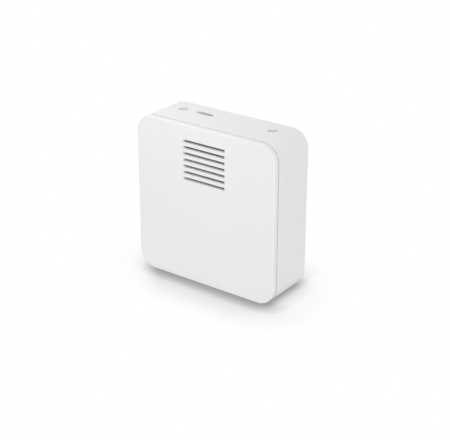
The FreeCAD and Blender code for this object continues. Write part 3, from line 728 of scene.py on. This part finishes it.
def makeCell(name, node, direction):
    # a profile turned about the cell's own line, with its button towards the direction
    s = cellShape
    low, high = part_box(node)
    flat = low.x if direction > 0 else high.x
    centre = (flat, (low.y + high.y) / 2, (low.z + high.z) / 2)
    profile = np.array(s["flatEnd"] + s["film"] + s["buttonEnd"]) * mm
    points, faces = lathe(profile * (direction, 1), centre, "x", s["sides"])
    kinds = np.repeat([0, 1, 0], [len(s["flatEnd"]) - 1, len(s["film"]) + 1,
                                  len(s["buttonEnd"]) - 1])
    addPiece(name, points, faces,
             [finishes["nickelPlate"], finishes["cellFilm"]], [node],
             np.repeat(kinds, s["sides"]))


canShape = {
    # (height over the board, radius) of the can; (share of the foot, share of the outline)
    # of the square base with two cut corners
    "can": ((0.99, 0), (0.99, 2.9), (1.15, 3.08), (1.5, 3.15), (1.75, 3.1), (1.9, 2.95),
            (2.05, 3.1), (2.3, 3.15), (5.0, 3.15), (5.22, 3.08), (5.36, 2.9),
            (5.4, 2.65), (5.34, 2.5), (5.34, 0)),
    "base": ((0, 0), (0, 1.0), (0.85, 1.0), (1.0, 0.96), (1.0, 0.0)),
    "half": 3.25, "cut": 0.9, "foot": 1.0, "canSides": 64, "baseSides": 96,
}


def makeCan():
    # base: a square with two cut corners, r(t) = min of its edge distances / cos; can: turned
    s = canShape
    low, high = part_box("capacitor")
    centre = np.array(((low.x + high.x) / 2, high.y, (low.z + high.z) / 2))
    points, faces = lathe(np.array(s["can"]) * mm * (-1, 1), centre, "y", s["canSides"])
    turn = turns(s["baseSides"])
    square = s["half"] / np.maximum(np.abs(np.cos(turn)), np.abs(np.sin(turn)))
    slant = np.maximum(np.cos(turn - math.pi / 4), np.cos(turn + math.pi / 4))
    cut = (2 * s["half"] - s["cut"]) / math.sqrt(2) / np.maximum(slant, 1e-3)
    edge = np.minimum(square, cut)
    rows = np.array(s["base"])
    radius = rows[:, 1:] * edge
    level = -rows[:, :1] * s["foot"] + 0 * edge
    base = np.stack((radius * np.cos(turn), level, radius * np.sin(turn)), -1) * mm + centre
    baseFaces = gridFaces(len(rows), s["baseSides"], closeColumns=True)
    kinds = np.repeat([0, 1], [len(faces), len(baseFaces)])
    points, faces = joined([(points, faces), (base, baseFaces)])
    addPiece("capacitorCan", points, faces,
             [finishes["nickelPlate"], finishes["chipResin"]], ["capacitor"], kinds)


makeGauze()
makeScrews()
makeSolder()
makeLeads()
makeCell("lowerCell", "battery_lower", -1)
makeCell("upperCell", "battery_upper", 1)
makeCan()
print("detailed pieces made")


# Floor, light and camera

floorLook = {"radius": 3.0, "rings": 9, "sides": 48, "bounce": 0.86, "roughness": 0.9,
             "darkest": 0.3, "samples": 16,
             # reach and power of the narrow and the wide shade
             "narrow": (0.009, 3.0), "wide": (0.028, 1.0),
             # the shade weakens to the left, along a line that slants in front of the object,
             # and beside its right side
             "front": -0.014, "slant": 0.8, "left": (-0.027, -0.043), "leftKept": 0.22,
             "right": (0.034, 0.042), "rightDepth": (-0.021, -0.005), "rightLost": 0.70}


def openSky(material, reach, power):
    # how little of the object stands within reach over the floor
    ambient = addNode(material, "ShaderNodeAmbientOcclusion", {"Distance": reach},
                      samples=floorLook["samples"])
    return calc(material, "POWER", ambient.outputs["AO"], power)


def makeFloor():
    # a flat disc of rings: x = r cos t, y = r sin t
    f = floorLook
    radius = f["radius"] * np.linspace(0, 1, f["rings"])[:, None] ** 2
    turn = turns(f["sides"])[None, :]
    points = np.stack((radius * np.cos(turn), radius * np.sin(turn),
                       radius * 0 + turn * 0), -1).reshape(-1, 3)
    mesh = bpy.data.meshes.new("floor")
    mesh.from_pydata(points.tolist(), [], gridFaces(f["rings"], f["sides"],
                                                    closeColumns=True).tolist())
    floor = bpy.data.objects.new("floor", mesh)
    bpy.context.scene.collection.objects.link(floor)
    # seen, it is white and darkens by (1 - darkest) * (1 - narrow ** 3 * wide) at the object,
    # and by less beyond its two sides
    material = newMaterial("paleFloor", (f["bounce"],) * 3, f["roughness"])
    tree = material.node_tree
    tree.nodes.remove(tree.nodes["Principled BSDF"])
    clear = product(material, openSky(material, *f["narrow"]), openSky(material, *f["wide"]))
    dark = product(material, calc(material, "SUBTRACT", 1.0, clear), 1 - f["darkest"])
    place = splitPoint(material)
    x, y = place["X"], place["Y"]
    ahead = calc(material, "MINIMUM", calc(material, "SUBTRACT", y, f["front"]), 0.0)
    slanted = calc(material, "ADD", x, product(material, ahead, f["slant"]))
    beside = product(material, eased(material, x, *f["right"]),
                     eased(material, y, *f["rightDepth"], 0.0, f["rightLost"]))
    dark = product(material, dark, eased(material, slanted, *f["left"], 1.0, f["leftKept"]))
    dark = product(material, dark, calc(material, "SUBTRACT", 1.0, beside))
    shown = addNode(material, "ShaderNodeEmission",
                    {"Color": calc(material, "SUBTRACT", 1.0, dark)})
    lit = addNode(material, "ShaderNodeBsdfDiffuse", {"Color": (*[f["bounce"]] * 3, 1)})
    both = addNode(material, "ShaderNodeMixShader",
                   {0: seenRays(material), 1: lit.outputs["BSDF"],
                    2: shown.outputs["Emission"]})
    tree.links.new(both.outputs["Shader"], tree.nodes["Material Output"].inputs["Surface"])
    mesh.materials.append(material)


# the lamp behind stands lower than the object's top, so it lights the back and sides alone
lights = {
    "world": 0.50, "aim": (0, 0, 0.04),
    "lamps": {
        "overFront": {"place": (-0.03, -0.09, 0.17), "size": 0.06, "watts": 0.0273},
        "topLeft": {"place": (-0.18, 0.03, 0.26), "size": 0.15, "watts": 0.148},
        "frontRight": {"place": (0.50, -0.90, 0.50), "size": 0.70, "watts": 4.48},
        "right": {"place": (0.90, -0.15, 0.45), "size": 0.60, "watts": 1.49},
        "behind": {"place": (-0.35, 0.95, 0.035), "size": 0.08, "watts": 2.2},
    },
}


def makeWorld():
    # it lights the object evenly, and is white where it is seen
    world = bpy.data.worlds.new("studio")
    bpy.context.scene.world = world
    world.use_nodes = True
    world.node_tree.nodes.clear()
    even, white = [addNode(world, "ShaderNodeBackground",
                           {"Color": (1, 1, 1, 1), "Strength": strength})
                   for strength in (lights["world"], 1.0)]
    mix = addNode(world, "ShaderNodeMixShader",
                  {0: seenRays(world), 1: even.outputs[0], 2: white.outputs[0]})
    addNode(world, "ShaderNodeOutputWorld", {"Surface": mix.outputs[0]})


def makeLamps():
    for name, spec in lights["lamps"].items():
        data = bpy.data.lights.new(name, "AREA")
        data.shape = "DISK"
        data.size = spec["size"]
        data.energy = spec["watts"]
        lamp = bpy.data.objects.new(name, data)
        lamp.location = spec["place"]
        back = lamp.location - Vector(lights["aim"])
        lamp.rotation_euler = back.to_track_quat("Z", "Y").to_euler()
        lamp.visible_camera = False
        bpy.context.scene.collection.objects.link(lamp)


# back points from the object to the camera
viewpoint = {"eye": (0.3086, -0.4147, 0.2637), "back": (0.5413, -0.7327, 0.4126),
             "lens": 93.65, "sensor": 36}


def makeCamera():
    data = bpy.data.cameras.new("camera")
    data.sensor_width = viewpoint["sensor"]
    data.lens = viewpoint["lens"]
    camera = bpy.data.objects.new("camera", data)
    camera.location = viewpoint["eye"]
    camera.rotation_euler = Vector(viewpoint["back"]).to_track_quat("Z", "Y").to_euler()
    bpy.context.scene.collection.objects.link(camera)
    bpy.context.scene.camera = camera


makeFloor()
makeWorld()
makeLamps()
makeCamera()
bpy.context.scene.view_settings.view_transform = "Standard"
print("floor, light and camera made")
